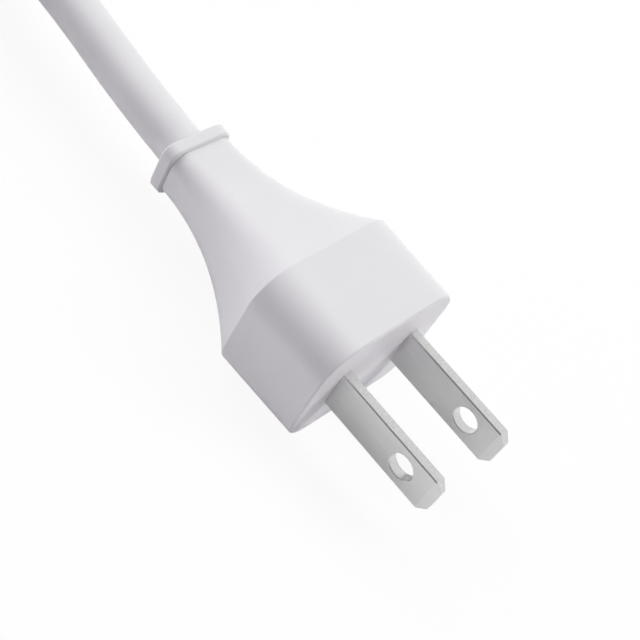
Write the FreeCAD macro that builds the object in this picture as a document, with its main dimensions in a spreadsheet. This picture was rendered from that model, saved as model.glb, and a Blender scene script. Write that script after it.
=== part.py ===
import FreeCAD, Part
import math
import os

import Sketcher

Vector = FreeCAD.Vector

# Driving dimensions in millimetres. Local frame of the plug: blades point to -Y, the cord leaves
# to +Y, X runs from blade to blade and the blades' middle is at z = 0.
SIZES = {
    "blade_pitch": 12.7,
    "blade_width": 6.35,
    "blade_thickness": 1.5,
    "blade_reach": 18.2,
    "blade_hole_diameter": 3.75,
    "blade_hole_distance": 12.5,
    "blade_hole_rim": 0.1,
    "blade_edge_break": 0.15,
    "tip_corner_cut": 1.25,
    "tip_bevel_length": 1.3,
    "tip_bevel_depth": 0.3,
    "shank_depth": 5.0,
    "shank_neck_width": 3.4,
    "shank_neck_length": 3.5,
    "anchor_hole_diameter": 2.4,
    "anchor_hole_depth": 2.4,
    "crimp_length": 6.0,
    "crimp_wall": 0.7,
    "crimp_overlap": 1.0,
    "strand_diameter": 1.3,
    "core_diameter": 2.7,
    "core_spacing": 2.9,
    "cord_diameter": 6.6,
    "cord_grip_length": 8.0,
    "head_width": 24.6,
    "head_height": 19.0,
    "head_length": 13.2,
    "head_draft": 0.2,
    "head_corner_radius": 5.3,
    "face_edge_cut": 0.2,
    "neck_length": 22.4,
    "neck_end_width": 10.0,
    "neck_end_cover": 0.5,
    "neck_end_radius": 2.2,
    "collar_step": 0.35,
    "collar_length": 2.0,
    "collar_corner_radius": 1.85,
    "collar_edge_cut": 0.25,
    "hank_centre_x": -17.0,
    "hank_centre_y": 126.0,
    "hank_length": 100.0,
    "hank_fold_radius": 19.8,
    "hank_columns": 2,
    "hank_turns": 3,
    "hank_edge_cut": 2.6,
    "tie_place": 14.0,
    "tie_width": 6.0,
    "tie_thickness": 0.8,
    "tail_core_length": 16.0,
    "tail_tip_length": 6.0,
    "tail_splay": 7.0,
}

# Sizes that follow from the driving ones, as expressions of their names.
DERIVED = {
    "shank_end": "shank_depth + shank_neck_length",
    "crimp_start": "shank_end - crimp_overlap",
    "crimp_end": "crimp_start + crimp_length",
    "collar_start": "head_length + neck_length",
    "body_end": "collar_start + collar_length",
    "cord_start": "body_end - cord_grip_length",
    "face_y": "( blade_reach - body_end ) / 2",
    "axis_z": "head_height / 2",
    "neck_end_height": "cord_diameter + 2 * neck_end_cover",
    "collar_width": "neck_end_width + 2 * collar_step",
    "collar_height": "neck_end_height + 2 * collar_step",
    "hank_height": "( hank_turns + 1 ) * cord_diameter",
    "bundle_width": "hank_columns * cord_diameter",
    "hank_inner_radius": "hank_fold_radius - cord_diameter / 2",
    "hank_outer_radius": "hank_inner_radius + bundle_width",
    "hank_straight": "hank_length - 2 * hank_outer_radius",
    "bundle_middle": "hank_inner_radius + bundle_width / 2",
}

# Share of the neck's length, counted from the collar, at which its sections stand, and how the
# neck's width and height grow with that share.
NECK_STEPS = (1.0, 0.5, 0.0)
NECK_FLARE = 1.9

# Route of the cord from the plug to the hank, after its start inside the neck.
CORD_ROUTE = [
    (0.0, 35.0, 9.5),
    (3.2, 60.0, 9.4),
    (5.9, 84.0, 5.2),
    (9.4, 106.0, 4.1),
]

# Route of the cord's last stretch, which leaves the hank on its inner side.
TAIL_ROUTE = [
    (2.8, 107.0, 4.1),
    (-4.0, 133.0, 4.1),
]

doc = FreeCAD.newDocument("plug")


def make_sheet():
    """Spreadsheet with one named cell for each driving size."""
    sizes = doc.addObject("Spreadsheet::Sheet", "Sizes")
    for row, (name, value) in enumerate(SIZES.items(), start=1):
        sizes.set(f"A{row}", name)
        sizes.set(f"B{row}", str(value))
        sizes.setAlias(f"B{row}", name)
    doc.recompute()
    return sizes


sheet = make_sheet()


def cells(expression):
    """Expression with each size name replaced by its cell, or by what it follows from."""
    words = []
    for word in expression.split():
        if word in DERIVED:
            word = f"( {cells(DERIVED[word])} )"
        elif word in SIZES:
            word = f"Sizes.{word}"
        words.append(word)
    return " ".join(words)


def value(expression):
    """Number that an expression of sizes has, in millimetres."""
    return float(sheet.evalExpression(cells(expression)))


def bind(item, **expressions):
    """Tie properties of an object to the sheet; an underscore pair stands for a dot."""
    for name, expression in expressions.items():
        item.setExpression(name.replace("__", "."), cells(expression))


def place(item, x="0", y="0", z="0"):
    """Place a sub-part, given in the plug's own frame, with the plug's foot on z = 0."""
    bind(
        item,
        Placement__Base__x=x,
        Placement__Base__y=f"{y} + face_y",
        Placement__Base__z=f"{z} + axis_z",
    )


def make_body(name):
    """Empty body whose label names its file."""
    body = doc.addObject("PartDesign::Body", name)
    body.Label = name
    return body


def add_sketch(body, name, plane, offset=None):
    """Sketch on one of the body's own origin planes, moved along its normal by offset."""
    sketch = body.newObject("Sketcher::SketchObject", name)
    support = [f for f in body.Origin.OriginFeatures if f.Role == plane][0]
    sketch.AttachmentSupport = [(support, "")]
    sketch.MapMode = "FlatFace"
    if offset is not None:
        bind(sketch, AttachmentOffset__Base__z=offset)
    return sketch


def constrain(sketch, kind, *arguments, name=None, expression=None):
    """Add a constraint, and tie it to the sheet where an expression is given."""
    index = sketch.addConstraint(Sketcher.Constraint(kind, *arguments))
    if expression is not None:
        sketch.renameConstraint(index, name)
        sketch.setExpression(f"Constraints.{name}", cells(expression))
    return index


def add_circle(sketch, diameter, x="0", y="0", tag=""):
    """Circle of a bound diameter about a bound point."""
    radius = 1.0
    start = Vector(0.1, 0.1, 0)
    circle = sketch.addGeometry(Part.Circle(start, Vector(0, 0, 1), radius))
    constrain(sketch, "Diameter", circle, 2 * radius, name=f"diameter{tag}", expression=diameter)
    constrain(sketch, "DistanceX", -1, 1, circle, 3, start.x, name=f"centre_x{tag}", expression=x)
    constrain(sketch, "DistanceY", -1, 1, circle, 3, start.y, name=f"centre_y{tag}", expression=y)
    return circle


def add_polygon(sketch, corners, tag=""):
    """Closed polygon whose corners are pairs of expressions."""
    values = [(value(x), value(y)) for x, y in corners]
    lines = []
    for start, end in zip(values, values[1:] + values[:1]):
        lines.append(sketch.addGeometry(Part.LineSegment(Vector(*start), Vector(*end))))
    for line, following in zip(lines, lines[1:] + lines[:1]):
        constrain(sketch, "Coincident", line, 2, following, 1)
    for number, (line, (x, y), (vx, vy)) in enumerate(zip(lines, corners, values)):
        constrain(sketch, "DistanceX", -1, 1, line, 1, vx, name=f"x{tag}{number}", expression=x)
        constrain(sketch, "DistanceY", -1, 1, line, 1, vy, name=f"y{tag}{number}", expression=y)


def rounded_rectangle(sketch, width, height, radius, tag=""):
    """Rectangle about the origin with four equal round corners."""
    half_width = value(f"( {width} ) / 2")
    half_height = value(f"( {height} ) / 2")
    r = value(radius)
    x, y = half_width - r, half_height - r
    quarter = math.pi / 2
    arcs = []
    for turn, (cx, cy) in enumerate(((x, y), (-x, y), (-x, -y), (x, -y))):
        circle = Part.Circle(Vector(cx, cy, 0), Vector(0, 0, 1), r)
        arcs.append(sketch.addGeometry(Part.ArcOfCircle(circle, turn * quarter, (turn + 1) * quarter)))
    ends = [
        ((x, half_height), (-x, half_height)),
        ((-half_width, y), (-half_width, -y)),
        ((-x, -half_height), (x, -half_height)),
        ((half_width, -y), (half_width, y)),
    ]
    lines = [sketch.addGeometry(Part.LineSegment(Vector(*a), Vector(*b))) for a, b in ends]
    for number, line in enumerate(lines):
        constrain(sketch, "Tangent", arcs[number], 2, line, 1)
        constrain(sketch, "Tangent", line, 2, arcs[(number + 1) % 4], 1)
        constrain(sketch, "Vertical" if number % 2 else "Horizontal", line)
    for arc in arcs[1:]:
        constrain(sketch, "Equal", arcs[0], arc)
    half_w, half_h = f"( {width} ) / 2", f"( {height} ) / 2"
    constrain(sketch, "Radius", arcs[0], r, name=f"corner{tag}", expression=radius)
    constrain(sketch, "DistanceY", -1, 1, lines[0], 1, half_height, name=f"up{tag}", expression=half_h)
    constrain(sketch, "DistanceX", lines[1], 1, -1, 1, half_width, name=f"left{tag}", expression=half_w)
    constrain(sketch, "DistanceY", lines[2], 1, -1, 1, half_height, name=f"down{tag}", expression=half_h)
    constrain(sketch, "DistanceX", -1, 1, lines[3], 1, half_width, name=f"right{tag}", expression=half_w)


def add_pad(body, name, sketch, length, reverse=False, both_ways=False):
    """Pad of a bound length."""
    pad = body.newObject("PartDesign::Pad", name)
    pad.Profile = sketch
    bind(pad, Length=length)
    pad.Reversed = reverse
    pad.Midplane = both_ways
    return pad


def add_pocket(body, name, sketch):
    """Pocket right through the body, both ways from its sketch; it has to take something away."""
    doc.recompute()
    before = body.Shape.Volume
    pocket = body.newObject("PartDesign::Pocket", name)
    pocket.Profile = sketch
    pocket.Type = "ThroughAll"
    pocket.Midplane = True
    doc.recompute()
    if not body.Shape.Volume < before:
        raise RuntimeError(f"{name} cuts nothing")
    return pocket


def dress_edges(body, kind, name, property_name, expression, wanted):
    """Fillet or chamfer of a bound size on the tip's edges that pass a test."""
    doc.recompute()
    base = body.Tip
    edges = [f"Edge{n}" for n, edge in enumerate(base.Shape.Edges, start=1) if wanted(edge)]
    feature = body.newObject(kind, name)
    feature.Base = (base, edges)
    bind(feature, **{property_name: expression})
    doc.recompute()
    return feature


def lies_at(edge, axis, place_on_axis):
    """Whether both ends and the middle of an edge have one coordinate."""
    near = 1e-4
    points = [edge.valueAt(edge.FirstParameter), edge.valueAt(edge.LastParameter)]
    points.append(edge.valueAt((edge.FirstParameter + edge.LastParameter) / 2))
    return all(abs(point[axis] - place_on_axis) < near for point in points)


def make_blade(name, side):
    """Flat contact blade: cut tip with bevels, hole, anchored shank and crimp barrel."""
    body = make_body(name)
    profile = add_sketch(body, f"{name}_profile", "YZ_Plane")
    half, neck = "blade_width / 2", "shank_neck_width / 2"
    tip, cut = "- blade_reach", "tip_corner_cut"
    upper = [
        ("shank_end", neck),
        ("shank_depth", neck),
        ("shank_depth", half),
        (f"{tip} + {cut}", half),
        (tip, f"{half} - {cut}"),
    ]
    lower = [(y, f"- ( {z} )") for y, z in reversed(upper)]
    add_polygon(profile, upper + lower)
    add_pad(body, f"{name}_plate", profile, "blade_thickness", both_ways=True)
    doc.recompute()

    half_thick, half_wide = value("blade_thickness / 2"), value("blade_width / 2")
    hole_y = value("- blade_hole_distance")
    near = 1e-4

    def is_long_edge(edge):
        sides = abs(abs(edge.CenterOfMass.x) - half_thick) < near
        return sides and any(lies_at(edge, 2, z) for z in (half_wide, -half_wide))

    dress_edges(body, "PartDesign::Chamfer", f"{name}_edges", "Size", "blade_edge_break", is_long_edge)

    bevels = add_sketch(body, f"{name}_bevels", "XY_Plane")
    out = "blade_thickness / 2 + blade_thickness"
    face, deep = "blade_thickness / 2", "blade_thickness / 2 - tip_bevel_depth"
    back, front = f"{tip} + tip_bevel_length", tip
    for tag, sign in (("a", ""), ("b", "- ")):
        corners = [(face, back), (deep, front), (out, front), (out, back)]
        add_polygon(bevels, [(f"{sign}( {x} )", y) for x, y in corners], tag)
    add_pocket(body, f"{name}_tip", bevels)

    holes = add_sketch(body, f"{name}_holes", "YZ_Plane")
    add_circle(holes, "blade_hole_diameter", "- blade_hole_distance", "0", "_contact")
    add_circle(holes, "anchor_hole_diameter", "anchor_hole_depth", "0", "_anchor")
    add_pocket(body, f"{name}_hole", holes)

    def is_rim(edge):
        return isinstance(edge.Curve, Part.Circle) and abs(edge.CenterOfMass.y - hole_y) < near

    dress_edges(body, "PartDesign::Chamfer", f"{name}_rim", "Size", "blade_hole_rim", is_rim)

    ring = add_sketch(body, f"{name}_ring", "XZ_Plane", "- crimp_start")
    add_circle(ring, "strand_diameter + 2 * crimp_wall", tag="_outer")
    add_circle(ring, "strand_diameter", tag="_inner")
    add_pad(body, f"{name}_crimp", ring, "crimp_length", reverse=True)
    place(body, x=f"{side} * blade_pitch / 2")
    return body


def make_strand(name, side):
    """Bare copper end of one core, held in its crimp barrel."""
    strand = doc.addObject("Part::Cylinder", name)
    strand.Label = name
    bind(strand, Radius="strand_diameter / 2", Height="crimp_end - shank_end")
    strand.Placement.Rotation = FreeCAD.Rotation(Vector(1, 0, 0), -90)
    place(strand, x=f"{side} * blade_pitch / 2", y="shank_end")
    return strand


def make_core(name, side):
    """Insulated core that runs from the cord's end out to one crimp barrel."""
    body = make_body(name)
    runs = (("front", "blade_pitch", "crimp_end"), ("back", "core_spacing", "cord_start"))
    ends = []
    for end, spread, distance in runs:
        sketch = add_sketch(body, f"{name}_{end}", "XZ_Plane", f"- ( {distance} )")
        add_circle(sketch, "core_diameter", f"{side} * {spread} / 2")
        ends.append(sketch)
    add_loft(body, f"{name}_run", ends)
    place(body)
    return body


def rounded_path(points, name):
    """Wire of straight runs joined by tangent arcs as large as the runs allow."""
    share = 0.45
    edges = []
    radii = []
    start = points[0]
    for before, corner, after in zip(points, points[1:], points[2:]):
        incoming, outgoing = corner - before, after - corner
        trim = share * min(incoming.Length, outgoing.Length)
        turn = incoming.getAngle(outgoing)
        radius = trim / math.tan(turn / 2)
        incoming.normalize()
        outgoing.normalize()
        arc_start, arc_end = corner - incoming * trim, corner + outgoing * trim
        inward = (outgoing - incoming).normalize()
        middle = corner + inward * (radius / math.cos(turn / 2) - radius)
        edges.append(Part.LineSegment(start, arc_start).toShape())
        edges.append(Part.Arc(arc_start, middle, arc_end).toShape())
        radii.append(round(radius, 1))
        start = arc_end
    edges.append(Part.LineSegment(start, points[-1]).toShape())
    print(name, "bend radii", radii)
    return Part.Wire(edges)


def tube(points, diameter, name):
    """Round solid along a path; its volume has to be its section times its length."""
    path = rounded_path(points, name)
    circle = Part.Circle(points[0], points[1] - points[0], diameter / 2)
    solid = path.makePipeShell([Part.Wire(circle.toShape())], True, False)
    expected = math.pi * diameter**2 / 4 * path.Length
    if abs(solid.Volume / expected - 1) > 0.01:
        raise RuntimeError(f"{name} has the wrong volume")
    return solid


def add_shape(name, shape, base):
    """Sub-part with a ready shape, moved to its place."""
    item = doc.addObject("Part::Feature", name)
    item.Label = name
    item.Shape = shape
    item.Placement = FreeCAD.Placement(base, FreeCAD.Rotation())
    return item


def make_cord(name):
    """Free cord from its grip inside the neck to the hank."""
    start = Vector(0, value("face_y + cord_start"), value("axis_z"))
    points = [start] + [Vector(*point) for point in CORD_ROUTE]
    return add_shape(name, tube(points, value("cord_diameter"), name), Vector())


def make_tail(name):
    """Last stretch of the cord, on the inner side of the hank."""
    points = [Vector(*point) for point in TAIL_ROUTE]
    return add_shape(name, tube(points, value("cord_diameter"), name), Vector())


def add_section(body, name, width, height, radius, distance):
    """Rounded rectangle across the plug, at a distance behind its face."""
    sketch = add_sketch(body, name, "XZ_Plane", f"- ( {distance} )")
    rounded_rectangle(sketch, width, height, radius)
    return sketch


def add_loft(body, name, sections):
    """Smooth loft through sections, joined to what the body has."""
    loft = body.newObject("PartDesign::AdditiveLoft", name)
    loft.Profile = sections[0]
    loft.Sections = sections[1:]
    doc.recompute()
    return loft


def between(end, start, share):
    """Expression of a size that goes from end to start as share goes from 0 to 1."""
    return f"{end} + ( {start} - {end} ) * {share}"


def make_moulding(name):
    """Outer form of the moulded plug: head, flared neck and collar, with no hollow yet."""
    body = make_body(name)
    size = ("head_width", "head_height", "head_corner_radius")
    back = add_section(body, "head_section", *size, "head_length")
    head = add_pad(body, "head", back, "head_length")
    bind(head, TaperAngle="- atan( head_draft / head_length )")

    def is_face_edge(edge):
        return lies_at(edge, 1, 0.0)

    dress_edges(body, "PartDesign::Chamfer", "face_rim", "Size", "face_edge_cut", is_face_edge)

    sections = []
    for number, share in enumerate(NECK_STEPS):
        flare = share**NECK_FLARE
        sections.append(
            add_section(
                body,
                f"neck_section_{number}",
                between("neck_end_width", "head_width", flare),
                between("neck_end_height", "head_height", flare),
                between("neck_end_radius", "head_corner_radius", share),
                f"head_length + neck_length * {1 - share}",
            )
        )
    add_loft(body, "neck", sections)

    size = ("collar_width", "collar_height", "collar_corner_radius")
    plate = add_section(body, "collar_section", *size, "collar_start")
    add_pad(body, "collar", plate, "collar_length", reverse=True)
    ends = (value("collar_start"), value("body_end"))
    near = 0.01
    neck_x, neck_z = value("neck_end_width / 2") + near, value("neck_end_height / 2") + near

    def is_collar_edge(edge):
        middle = edge.CenterOfMass
        beyond_neck = abs(middle.x) > neck_x or abs(middle.z) > neck_z
        return beyond_neck and any(lies_at(edge, 1, end) for end in ends)

    dress_edges(body, "PartDesign::Chamfer", "collar_rims", "Size", "collar_edge_cut", is_collar_edge)
    place(body)
    return body


def cut_from(name, base, tools):
    """Sub-part made by taking other sub-parts' shapes out of a base."""
    group = doc.addObject("Part::Compound", f"{name}_contents")
    group.Links = tools
    cut = doc.addObject("Part::Cut", name)
    cut.Label = name
    cut.Base = base
    cut.Tool = group
    return cut


def stadium(sketch, radius, straight, tag):
    """Two half circles joined by straight sides along the sketch's vertical axis."""
    r, half = value(radius), value(f"{straight} / 2")
    arcs = []
    for y, first in ((half, 0.0), (-half, math.pi)):
        circle = Part.Circle(Vector(0, y, 0), Vector(0, 0, 1), r)
        arcs.append(sketch.addGeometry(Part.ArcOfCircle(circle, first, first + math.pi)))
    lines = [
        sketch.addGeometry(Part.LineSegment(Vector(-r, half, 0), Vector(-r, -half, 0))),
        sketch.addGeometry(Part.LineSegment(Vector(r, -half, 0), Vector(r, half, 0))),
    ]
    constrain(sketch, "Tangent", arcs[0], 2, lines[0], 1)
    constrain(sketch, "Tangent", lines[0], 2, arcs[1], 1)
    constrain(sketch, "Tangent", arcs[1], 2, lines[1], 1)
    constrain(sketch, "Tangent", lines[1], 2, arcs[0], 1)
    constrain(sketch, "Equal", *arcs)
    vertical_axis = -2
    for arc in arcs:
        constrain(sketch, "PointOnObject", arc, 3, vertical_axis)
    half_side = f"{straight} / 2"
    constrain(sketch, "Radius", arcs[0], r, name=f"fold{tag}", expression=radius)
    constrain(sketch, "DistanceY", -1, 1, arcs[0], 3, half, name=f"far{tag}", expression=half_side)
    constrain(sketch, "DistanceY", arcs[1], 3, -1, 1, half, name=f"near{tag}", expression=half_side)


def make_hank(name):
    """Outer shape of the folded cord: a long ring with broken edges."""
    body = make_body(name)
    outline = add_sketch(body, f"{name}_outline", "XY_Plane")
    stadium(outline, "hank_outer_radius", "hank_straight", "_outer")
    stadium(outline, "hank_inner_radius", "hank_straight", "_inner")
    add_pad(body, f"{name}_height", outline, "hank_height")
    doc.recompute()
    levels = (0.0, value("hank_height"))

    def is_rim(edge):
        return any(lies_at(edge, 2, level) for level in levels)

    dress_edges(body, "PartDesign::Chamfer", f"{name}_rims", "Size", "hank_edge_cut", is_rim)
    bind(
        body,
        Placement__Base__x="hank_centre_x",
        Placement__Base__y="hank_centre_y",
        Placement__Base__z="tie_thickness",
    )
    return body


def make_tie(name, side):
    """Flat strap round one side of the hank."""
    body = make_body(name)
    loop = add_sketch(body, f"{name}_loop", "XZ_Plane")
    rounded_rectangle(loop, "bundle_width", "hank_height", "hank_edge_cut", "_inner")
    rounded_rectangle(
        loop,
        "bundle_width + 2 * tie_thickness",
        "hank_height + 2 * tie_thickness",
        "hank_edge_cut + tie_thickness",
        "_outer",
    )
    add_pad(body, f"{name}_strap", loop, "tie_width", both_ways=True)
    bind(
        body,
        Placement__Base__x=f"hank_centre_x + {side} * bundle_middle",
        Placement__Base__y="hank_centre_y + tie_place",
        Placement__Base__z="tie_thickness + hank_height / 2",
    )
    return body


def add_rod(name, diameter, length, start, direction):
    """Straight round piece from a point along a direction."""
    rod = doc.addObject("Part::Cylinder", name)
    rod.Label = name
    bind(rod, Radius=f"{diameter} / 2", Height=length)
    rod.Placement = FreeCAD.Placement(start, FreeCAD.Rotation(Vector(0, 0, 1), direction))
    return rod


def make_lead_end(tag, side):
    """One stripped core at the cord's far end: insulated stretch and tinned tip."""
    before, end = (Vector(*point) for point in TAIL_ROUTE[-2:])
    along = (end - before).normalize()
    across = Vector(0, 0, 1).cross(along)
    splay = math.radians(value("tail_splay"))
    heading = along * math.cos(splay) + across * (side * math.sin(splay))
    clear = value("core_diameter") / 2 * math.sin(splay)
    start = end + along * clear + across * (side * value("core_spacing / 2"))
    core = add_rod(f"lead_core_{tag}", "core_diameter", "tail_core_length", start, heading)
    tip_start = start + heading * value("tail_core_length")
    tip = add_rod(f"lead_tip_{tag}", "strand_diameter", "tail_tip_length", tip_start, heading)
    return [core, tip]


SIDES = {"left": -1, "right": 1}


def make_parts():
    """All sub-parts of the plug and its cord."""
    inner = []
    for tag, side in SIDES.items():
        inner.append(make_blade(f"blade_{tag}", side))
        inner.append(make_strand(f"strand_{tag}", side))
        inner.append(make_core(f"core_{tag}", side))
    cord = make_cord("cord")
    tail = make_tail("cord_tail")
    body = cut_from("plug_body", make_moulding("moulding"), inner + [cord])
    hank = cut_from("cord_hank", make_hank("hank_form"), [cord, tail])
    parts = inner + [cord, tail, body, hank]
    for tag, side in SIDES.items():
        parts.append(make_tie(f"hank_tie_{tag}", side))
        parts += make_lead_end(tag, side)
    doc.recompute()
    return parts


def check(parts):
    """Stop if any object failed or any sub-part has no sound shape."""
    for item in doc.Objects:
        if "Invalid" in item.State or "Error" in item.State:
            raise RuntimeError(f"{item.Label} failed")
    for part in parts:
        if part.Shape.isNull() or not part.Shape.isValid() or not part.Shape.Solids:
            raise RuntimeError(f"{part.Label} has no sound shape")


def write(parts):
    """One file for each sub-part, named by its label."""
    os.makedirs("parts", exist_ok=True)
    for part in parts:
        part.Shape.exportStep(f"parts/{part.Label}.step")
        print(part.Label, len(part.Shape.Solids), "solid", round(part.Shape.Volume, 1), "mm3")


parts = make_parts()
check(parts)
write(parts)
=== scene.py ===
import math

import bpy
from mathutils import Euler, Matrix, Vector


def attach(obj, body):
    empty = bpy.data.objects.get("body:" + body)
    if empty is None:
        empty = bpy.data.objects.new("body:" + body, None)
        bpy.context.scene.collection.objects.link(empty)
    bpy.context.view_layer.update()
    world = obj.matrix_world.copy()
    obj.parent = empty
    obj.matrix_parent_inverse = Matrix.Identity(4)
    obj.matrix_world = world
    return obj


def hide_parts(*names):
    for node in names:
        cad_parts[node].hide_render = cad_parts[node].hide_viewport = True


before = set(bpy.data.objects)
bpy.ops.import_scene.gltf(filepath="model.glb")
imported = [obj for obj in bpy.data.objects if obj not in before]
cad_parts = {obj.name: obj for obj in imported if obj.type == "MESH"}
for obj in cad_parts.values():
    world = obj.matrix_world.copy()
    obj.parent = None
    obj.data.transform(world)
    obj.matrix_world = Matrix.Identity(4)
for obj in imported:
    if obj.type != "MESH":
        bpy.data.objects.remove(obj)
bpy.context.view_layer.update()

MM = 0.001

# Camera, fitted to the photo: turn in degrees, all else in millimetres.
CAMERA_PLACE = (-111.94, -41.09, 140.95)
CAMERA_TURN = (36.62, -21.72, -43.67)
CAMERA_LENS = 78.75
CAMERA_SENSOR = 36.0
CAMERA_NEAR_CLIP = 10.0

# The cord, in millimetres: size, where it starts inside the neck, where it leaves the collar, and control
# points before and after the hank.
CORD_DIAMETER = 6.6
CORD_START = (0.0, 19.9, 9.5)
CORD_ROUTE = [
    (0.0, 35.0, 9.5),
    (3.2, 60.0, 9.4),
    (5.9, 84.0, 5.2),
    (9.4, 106.0, 4.1),
]
TAIL_ROUTE = [
    (2.8, 107.0, 4.1),
    (-4.0, 133.0, 4.1),
]

# Fineness of the cord's mesh: round it, and from one control point to the next.
CORD_ROUND_STEPS = 8
CORD_LENGTH_STEPS = 6

# The hank, in millimetres: its middle, half of its straight side, fold radii and turns of its two columns,
# height of its lowest turn, and control points in a fold.
HANK_CENTRE = (-17.0, 126.0)
HANK_HALF_STRAIGHT = 20.3
HANK_OUTER_FOLD = 26.4
HANK_INNER_FOLD = 19.8
HANK_TURNS = 3
HANK_FLOOR = 4.1
FOLD_STEPS = 6

# Colours: dark and light end of each.
WHITE_TONES = ((0.738, 0.731, 0.749), (0.768, 0.761, 0.779))
SHEATH_TONES = ((0.733, 0.726, 0.744), (0.763, 0.756, 0.774))
BLACK_TONES = ((0.012, 0.012, 0.013), (0.02, 0.02, 0.021))
PALE_TONES = ((0.68, 0.68, 0.67), (0.75, 0.75, 0.74))
ROLLED_TONES = ((0.7, 0.7, 0.695), (0.75, 0.75, 0.745))
# Sheared edges: a sandy grain whose light end reaches well above the rolled faces, partly a painted glint.
SHEARED_GRAIN_AND_GLINT_TONES = ((0.7, 0.7, 0.695), (0.86, 0.86, 0.855))
COPPER_TONES = ((0.28, 0.11, 0.05), (0.78, 0.4, 0.24))
STRAP_TONES = ((0.012, 0.012, 0.013), (0.035, 0.035, 0.037))
PAPER_TONES = ((0.9, 0.9, 0.9), (0.93, 0.93, 0.93))

# The middle part of a pattern, over which colour or roughness goes from one end to the other.
PATTERN_LOW = 0.3
PATTERN_HIGH = 0.7

# Patterns: waves in a metre, and how many times closer the brushing lies along each axis.
CLOUD_WAVES = 90.0
SHEEN_WAVES = 400.0
BRUSH_WAVES = 150.0
BRUSH_STRETCH = (40.0, 1.0, 40.0)
SAND_WAVES = 5000.0
DULL_WAVES = 500.0
STRAND_WAVES = 700.0
RIB_WAVES = 220.0
FIBRE_WAVES = 900.0

# Relief of each surface: height in metres and strength; radii of softened edges in metres.
GRAIN_RELIEF = (0.00002, 0.35)
SAND_RELIEF = (0.000008, 0.3)
STRAND_RELIEF = (0.0001, 0.7)
RIB_RELIEF = (0.00012, 0.6)
PLASTIC_EDGE = 0.00018
BLADE_EDGE = 0.00012

# Sheen: how far a plastic's roughness strays, and a blade's least and most roughness.
SHEEN_SPREAD = 0.04
BLADE_ROUGHNESS = (0.28, 0.36)

# Floor: half of its side in metres, and the share of plain white in what the camera sees of it.
FLOOR_HALF = 3.0
FLOOR_WHITE = 0.92

# The room that metal mirrors: strength on its -X side and on its +X side, and how far to either side of the
# middle the fade between them reaches.
ROOM_DIM = 0.22
ROOM_BRIGHT = 0.84
ROOM_FADE = 0.6

# Soft lights: azimuth from +X and elevation in degrees, power in watts and tint; distance and size in
# metres.
NEUTRAL = (1.0, 1.0, 1.0)
LAVENDER = (0.97, 0.91, 1.0)
SOFT_LIGHTS = [
    (0, 65, 1.5, NEUTRAL),
    (75, 45, 1.6, NEUTRAL),
    (90, 25, 1.55, NEUTRAL),
    (135, 8, 0.85, LAVENDER),
    (160, 5, 1.05, LAVENDER),
    (270, 8, 1.2, LAVENDER),
    (315, 45, 2.45, NEUTRAL),
]
LIGHT_DISTANCE = 0.7
LIGHT_SIZE = 0.35


def add_node(tree, kind, **inputs):
    """Shader node with some of its sockets set; an underscore in a socket's name stands for a space."""
    node = tree.nodes.new(kind)
    for name, value in inputs.items():
        node.inputs[name.replace("_", " ")].default_value = value
    return node


def start_material(name):
    """New material, its node tree and its main shader."""
    material = bpy.data.materials.new(name)
    material.use_nodes = True
    tree = material.node_tree
    return material, tree, tree.nodes["Principled BSDF"]


def add_noise(tree, waves, detail=3.0, stretch=(1.0, 1.0, 1.0)):
    """Noise in the object's own space with a number of waves in a metre."""
    place = tree.nodes.new("ShaderNodeTexCoord")
    mapping = add_node(tree, "ShaderNodeMapping", Scale=stretch)
    noise = add_node(tree, "ShaderNodeTexNoise", Scale=waves, Detail=detail)
    tree.links.new(place.outputs["Object"], mapping.inputs["Vector"])
    tree.links.new(mapping.outputs["Vector"], noise.inputs["Vector"])
    return noise.outputs["Fac"]


def add_waves(tree, waves, direction, wander=0.0):
    """Even bands across a direction of the object's own space, which wander a little where told to."""
    place = tree.nodes.new("ShaderNodeTexCoord")
    bands = add_node(tree, "ShaderNodeTexWave", Scale=waves, Distortion=wander)
    bands.bands_direction = direction
    tree.links.new(place.outputs["Object"], bands.inputs["Vector"])
    return bands.outputs["Fac"]


def add_range(tree, source, low, high):
    """Numbers from low to high as a pattern goes over its middle part."""
    spread = add_node(
        tree,
        "ShaderNodeMapRange",
        From_Min=PATTERN_LOW,
        From_Max=PATTERN_HIGH,
        To_Min=low,
        To_Max=high,
    )
    tree.links.new(source, spread.inputs["Value"])
    return spread.outputs["Result"]


def add_colours(tree, source, tones):
    """Colours between two ends as a pattern goes over its middle part."""
    ramp = tree.nodes.new("ShaderNodeValToRGB")
    for element, position, tone in zip(ramp.color_ramp.elements, (PATTERN_LOW, PATTERN_HIGH), tones):
        element.position = position
        element.color = (*tone, 1.0)
    tree.links.new(source, ramp.inputs["Fac"])
    return ramp.outputs["Color"]


def add_relief(tree, source, relief, shader, edge=None):
    """Relief from a pattern, over edges softened by a radius where one is given."""
    height, strength = relief
    bump = add_node(tree, "ShaderNodeBump", Strength=strength, Distance=height)
    tree.links.new(source, bump.inputs["Height"])
    tree.links.new(bump.outputs["Normal"], shader.inputs["Normal"])
    if edge is not None:
        soft = add_node(tree, "ShaderNodeBevel", Radius=edge)
        tree.links.new(soft.outputs["Normal"], bump.inputs["Normal"])


def add_math(tree, operation, first, second):
    """One arithmetic step on an output and a second output or a number."""
    node = tree.nodes.new("ShaderNodeMath")
    node.operation = operation
    tree.links.new(first, node.inputs[0])
    if isinstance(second, float):
        node.inputs[1].default_value = second
    else:
        tree.links.new(second, node.inputs[1])
    return node.outputs["Value"]


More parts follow.
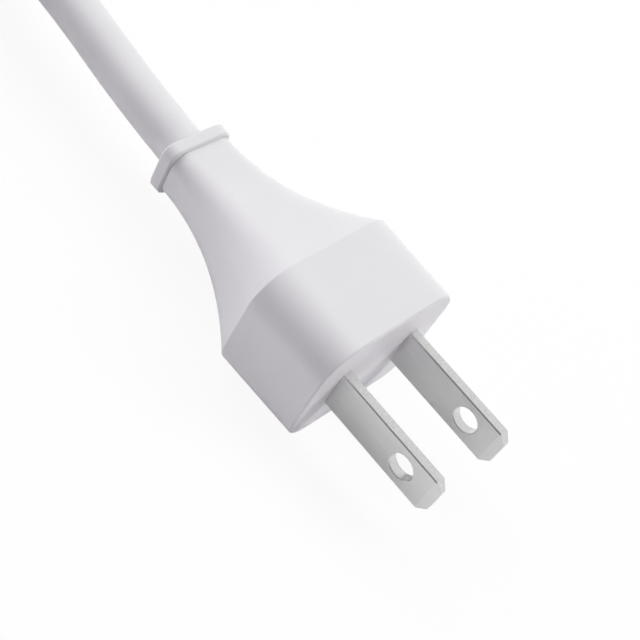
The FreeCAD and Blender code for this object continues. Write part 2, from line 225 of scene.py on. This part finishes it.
def moulded_plastic(name, tones, roughness, grain_waves):
    """Soft moulded plastic: faint clouds of tone, fine grain and a satin sheen."""
    material, tree, shader = start_material(name)
    clouds = add_noise(tree, CLOUD_WAVES)
    tree.links.new(add_colours(tree, clouds, tones), shader.inputs["Base Color"])
    patches = add_noise(tree, SHEEN_WAVES)
    sheen = add_range(tree, patches, roughness - SHEEN_SPREAD, roughness + SHEEN_SPREAD)
    tree.links.new(sheen, shader.inputs["Roughness"])
    grain = add_noise(tree, grain_waves, detail=2.0)
    add_relief(tree, grain, GRAIN_RELIEF, shader, PLASTIC_EDGE)
    shader.inputs["Specular IOR Level"].default_value = 0.4
    return material


def rolled_unglinted_share(tree):
    """Share of a blade's rolled faces, which look along X: 1 on them and 0 on the sheared edges, which carry
    a painted glint.
    """
    place = tree.nodes.new("ShaderNodeTexCoord")
    axes = tree.nodes.new("ShaderNodeSeparateXYZ")
    tree.links.new(place.outputs["Normal"], axes.inputs["Vector"])
    square = add_math(tree, "MULTIPLY", axes.outputs["X"], axes.outputs["X"])
    return add_math(tree, "POWER", square, 2.0)


def plated_blade(name):
    """Nickel plate: rolled faces with fine lengthwise brushing, sheared edges with a sandy grain whose
    lighter tones are a painted glint.
    """
    material, tree, shader = start_material(name)
    brushing = add_noise(tree, BRUSH_WAVES, detail=4.0, stretch=BRUSH_STRETCH)
    sand = add_noise(tree, SAND_WAVES, detail=2.0)
    mix = tree.nodes.new("ShaderNodeMixRGB")
    tree.links.new(rolled_unglinted_share(tree), mix.inputs["Fac"])
    # The sheared edges take the lighter tones: sandy grain, partly a painted glint.
    tree.links.new(add_colours(tree, sand, SHEARED_GRAIN_AND_GLINT_TONES), mix.inputs["Color1"])
    tree.links.new(add_colours(tree, brushing, ROLLED_TONES), mix.inputs["Color2"])
    tree.links.new(mix.outputs["Color"], shader.inputs["Base Color"])
    patches = add_noise(tree, DULL_WAVES)
    tree.links.new(add_range(tree, patches, *BLADE_ROUGHNESS), shader.inputs["Roughness"])
    add_relief(tree, sand, SAND_RELIEF, shader, BLADE_EDGE)
    shader.inputs["Metallic"].default_value = 1.0
    return material


def stranded_copper(name):
    """Bare copper wires laid side by side with a twist."""
    material, tree, shader = start_material(name)
    wires = add_waves(tree, STRAND_WAVES, "DIAGONAL", wander=0.6)
    tree.links.new(add_colours(tree, wires, COPPER_TONES), shader.inputs["Base Color"])
    add_relief(tree, wires, STRAND_RELIEF, shader)
    shader.inputs["Metallic"].default_value = 1.0
    shader.inputs["Roughness"].default_value = 0.35
    return material


def ribbed_strap(name):
    """Dark plastic strap with fine ribs across it."""
    material, tree, shader = start_material(name)
    ribs = add_waves(tree, RIB_WAVES, "Y")
    tree.links.new(add_colours(tree, ribs, STRAP_TONES), shader.inputs["Base Color"])
    add_relief(tree, ribs, RIB_RELIEF, shader)
    shader.inputs["Roughness"].default_value = 0.5
    return material


def dress_nodes(names, material):
    """Give CAD nodes a material in every slot."""
    for name in names:
        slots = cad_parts[name].data.materials
        if not slots:
            slots.append(material)
        for number in range(len(slots)):
            slots[number] = material


def hank_turn(fold, start_height, climb):
    """Control points of one turn of the hank, from the middle of its right side, going back first."""
    centre_x, centre_y = HANK_CENTRE
    step = math.pi / FOLD_STEPS
    reach = fold / math.cos(step / 2)
    flat = [(fold, 0.0)]
    for side in (1, -1):
        for number in range(FOLD_STEPS):
            angle = (number + 0.5) * step + (0.0 if side > 0 else math.pi)
            flat.append((reach * math.cos(angle), side * HANK_HALF_STRAIGHT + reach * math.sin(angle)))
        if side > 0:
            flat.append((-fold, 0.0))
    points = []
    for number, (x, y) in enumerate(flat):
        height = start_height + climb * number / len(flat)
        points.append((centre_x + x, centre_y + y, height))
    return points


def cord_points():
    """Control points of the whole cord: route, outer column up, inner column down, tail."""
    points = [CORD_START] + CORD_ROUTE
    top = HANK_FLOOR + HANK_TURNS * CORD_DIAMETER
    for turn in range(HANK_TURNS):
        points += hank_turn(HANK_OUTER_FOLD, HANK_FLOOR + turn * CORD_DIAMETER, CORD_DIAMETER)
    for turn in range(HANK_TURNS):
        points += hank_turn(HANK_INNER_FOLD, top - turn * CORD_DIAMETER, -CORD_DIAMETER)
    return points + TAIL_ROUTE


def make_cord(material):
    """The cord as one smooth round curve."""
    curve = bpy.data.curves.new("cord_curve", "CURVE")
    curve.dimensions = "3D"
    curve.bevel_depth = CORD_DIAMETER / 2 * MM
    curve.bevel_resolution = CORD_ROUND_STEPS
    curve.resolution_u = CORD_LENGTH_STEPS
    curve.use_fill_caps = True
    points = cord_points()
    spline = curve.splines.new("NURBS")
    spline.points.add(len(points) - 1)
    for control, point in zip(spline.points, points):
        control.co = (*(Vector(point) * MM), 1.0)
    spline.order_u = 3
    spline.use_endpoint_u = True
    curve.materials.append(material)
    cord = bpy.data.objects.new("cord_line", curve)
    bpy.context.scene.collection.objects.link(cord)
    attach(cord, "root")
    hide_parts("cord", "cord_hank", "cord_tail")


def white_paper(name):
    """Paper that shows almost plain white to the camera and keeps a faint soft shadow."""
    material, tree, shader = start_material(name)
    fibres = add_noise(tree, FIBRE_WAVES)
    tree.links.new(add_colours(tree, fibres, PAPER_TONES), shader.inputs["Base Color"])
    shader.inputs["Roughness"].default_value = 0.9
    shader.inputs["Specular IOR Level"].default_value = 0.1
    glow = add_node(tree, "ShaderNodeEmission", Color=(1.0, 1.0, 1.0, 1.0), Strength=1.0)
    path = tree.nodes.new("ShaderNodeLightPath")
    share = add_math(tree, "MULTIPLY", path.outputs["Is Camera Ray"], FLOOR_WHITE)
    mix = tree.nodes.new("ShaderNodeMixShader")
    tree.links.new(share, mix.inputs["Fac"])
    tree.links.new(shader.outputs["BSDF"], mix.inputs[1])
    tree.links.new(glow.outputs["Emission"], mix.inputs[2])
    tree.links.new(mix.outputs["Shader"], tree.nodes["Material Output"].inputs["Surface"])
    return material


def add_floor(material):
    """Flat square floor under the part."""
    corners = []
    for x, y in ((-1, -1), (1, -1), (1, 1), (-1, 1)):
        corners.append((x * FLOOR_HALF, y * FLOOR_HALF, 0.0))
    mesh = bpy.data.meshes.new("floor")
    mesh.from_pydata(corners, [], [(0, 1, 2, 3)])
    mesh.materials.append(material)
    floor = bpy.data.objects.new("floor", mesh)
    bpy.context.scene.collection.objects.link(floor)


def add_soft_lights():
    """Square soft lights, each facing the plug from the same distance, that metal and camera don't see."""
    for number, (azimuth, elevation, power, tint) in enumerate(SOFT_LIGHTS):
        lamp = bpy.data.lights.new(f"soft_light_{number}", "AREA")
        lamp.shape = "SQUARE"
        lamp.size = LIGHT_SIZE
        lamp.energy = power
        lamp.color = tint
        turn = math.radians(azimuth)
        rise = math.radians(elevation)
        heading = Vector((math.cos(rise) * math.cos(turn), math.cos(rise) * math.sin(turn), math.sin(rise)))
        light = bpy.data.objects.new(lamp.name, lamp)
        light.visible_camera = False
        light.visible_glossy = False
        light.location = heading * LIGHT_DISTANCE
        light.rotation_euler = (-heading).to_track_quat("-Z", "Y").to_euler()
        bpy.context.scene.collection.objects.link(light)


def add_room():
    """White room for the camera; metal mirrors it dim on the -X side and bright on the +X side."""
    world = bpy.data.worlds.new("room")
    bpy.context.scene.world = world
    world.use_nodes = True
    tree = world.node_tree
    room = tree.nodes["Background"]
    room.inputs["Color"].default_value = (1.0, 1.0, 1.0, 1.0)
    place = tree.nodes.new("ShaderNodeTexCoord")
    axes = tree.nodes.new("ShaderNodeSeparateXYZ")
    tree.links.new(place.outputs["Generated"], axes.inputs["Vector"])
    fade = add_node(
        tree,
        "ShaderNodeMapRange",
        From_Min=-ROOM_FADE,
        From_Max=ROOM_FADE,
        To_Min=ROOM_DIM,
        To_Max=ROOM_BRIGHT,
    )
    tree.links.new(axes.outputs["X"], fade.inputs["Value"])
    path = tree.nodes.new("ShaderNodeLightPath")
    mirrored = add_math(tree, "MULTIPLY", path.outputs["Is Glossy Ray"], fade.outputs["Result"])
    seen = add_math(tree, "MAXIMUM", path.outputs["Is Camera Ray"], mirrored)
    tree.links.new(seen, room.inputs["Strength"])


def add_camera():
    """Camera at the photo's place and angle."""
    data = bpy.data.cameras.new("camera")
    data.lens = CAMERA_LENS
    data.sensor_width = CAMERA_SENSOR
    data.clip_start = CAMERA_NEAR_CLIP * MM
    camera = bpy.data.objects.new("camera", data)
    camera.location = Vector(CAMERA_PLACE) * MM
    camera.rotation_euler = Euler([math.radians(angle) for angle in CAMERA_TURN], "XYZ")
    bpy.context.scene.collection.objects.link(camera)
    bpy.context.scene.camera = camera


white = moulded_plastic("moulded_white", WHITE_TONES, roughness=0.42, grain_waves=5000.0)
sheath = moulded_plastic("sheath_white", SHEATH_TONES, roughness=0.45, grain_waves=4000.0)
dark_core = moulded_plastic("core_black", BLACK_TONES, roughness=0.4, grain_waves=4000.0)
pale_core = moulded_plastic("core_white", PALE_TONES, roughness=0.4, grain_waves=4000.0)
copper = stranded_copper("copper_strands")
dress_nodes(["plug_body"], white)
dress_nodes(["blade_left", "blade_right"], plated_blade("blade_nickel"))
dress_nodes(["strand_left", "strand_right", "lead_tip_left", "lead_tip_right"], copper)
dress_nodes(["core_left", "lead_core_left"], dark_core)
dress_nodes(["core_right", "lead_core_right"], pale_core)
dress_nodes(["hank_tie_left", "hank_tie_right"], ribbed_strap("tie_black"))
make_cord(sheath)
add_floor(white_paper("paper"))
add_room()
add_soft_lights()
add_camera()
bpy.context.scene.view_settings.view_transform = "Standard"
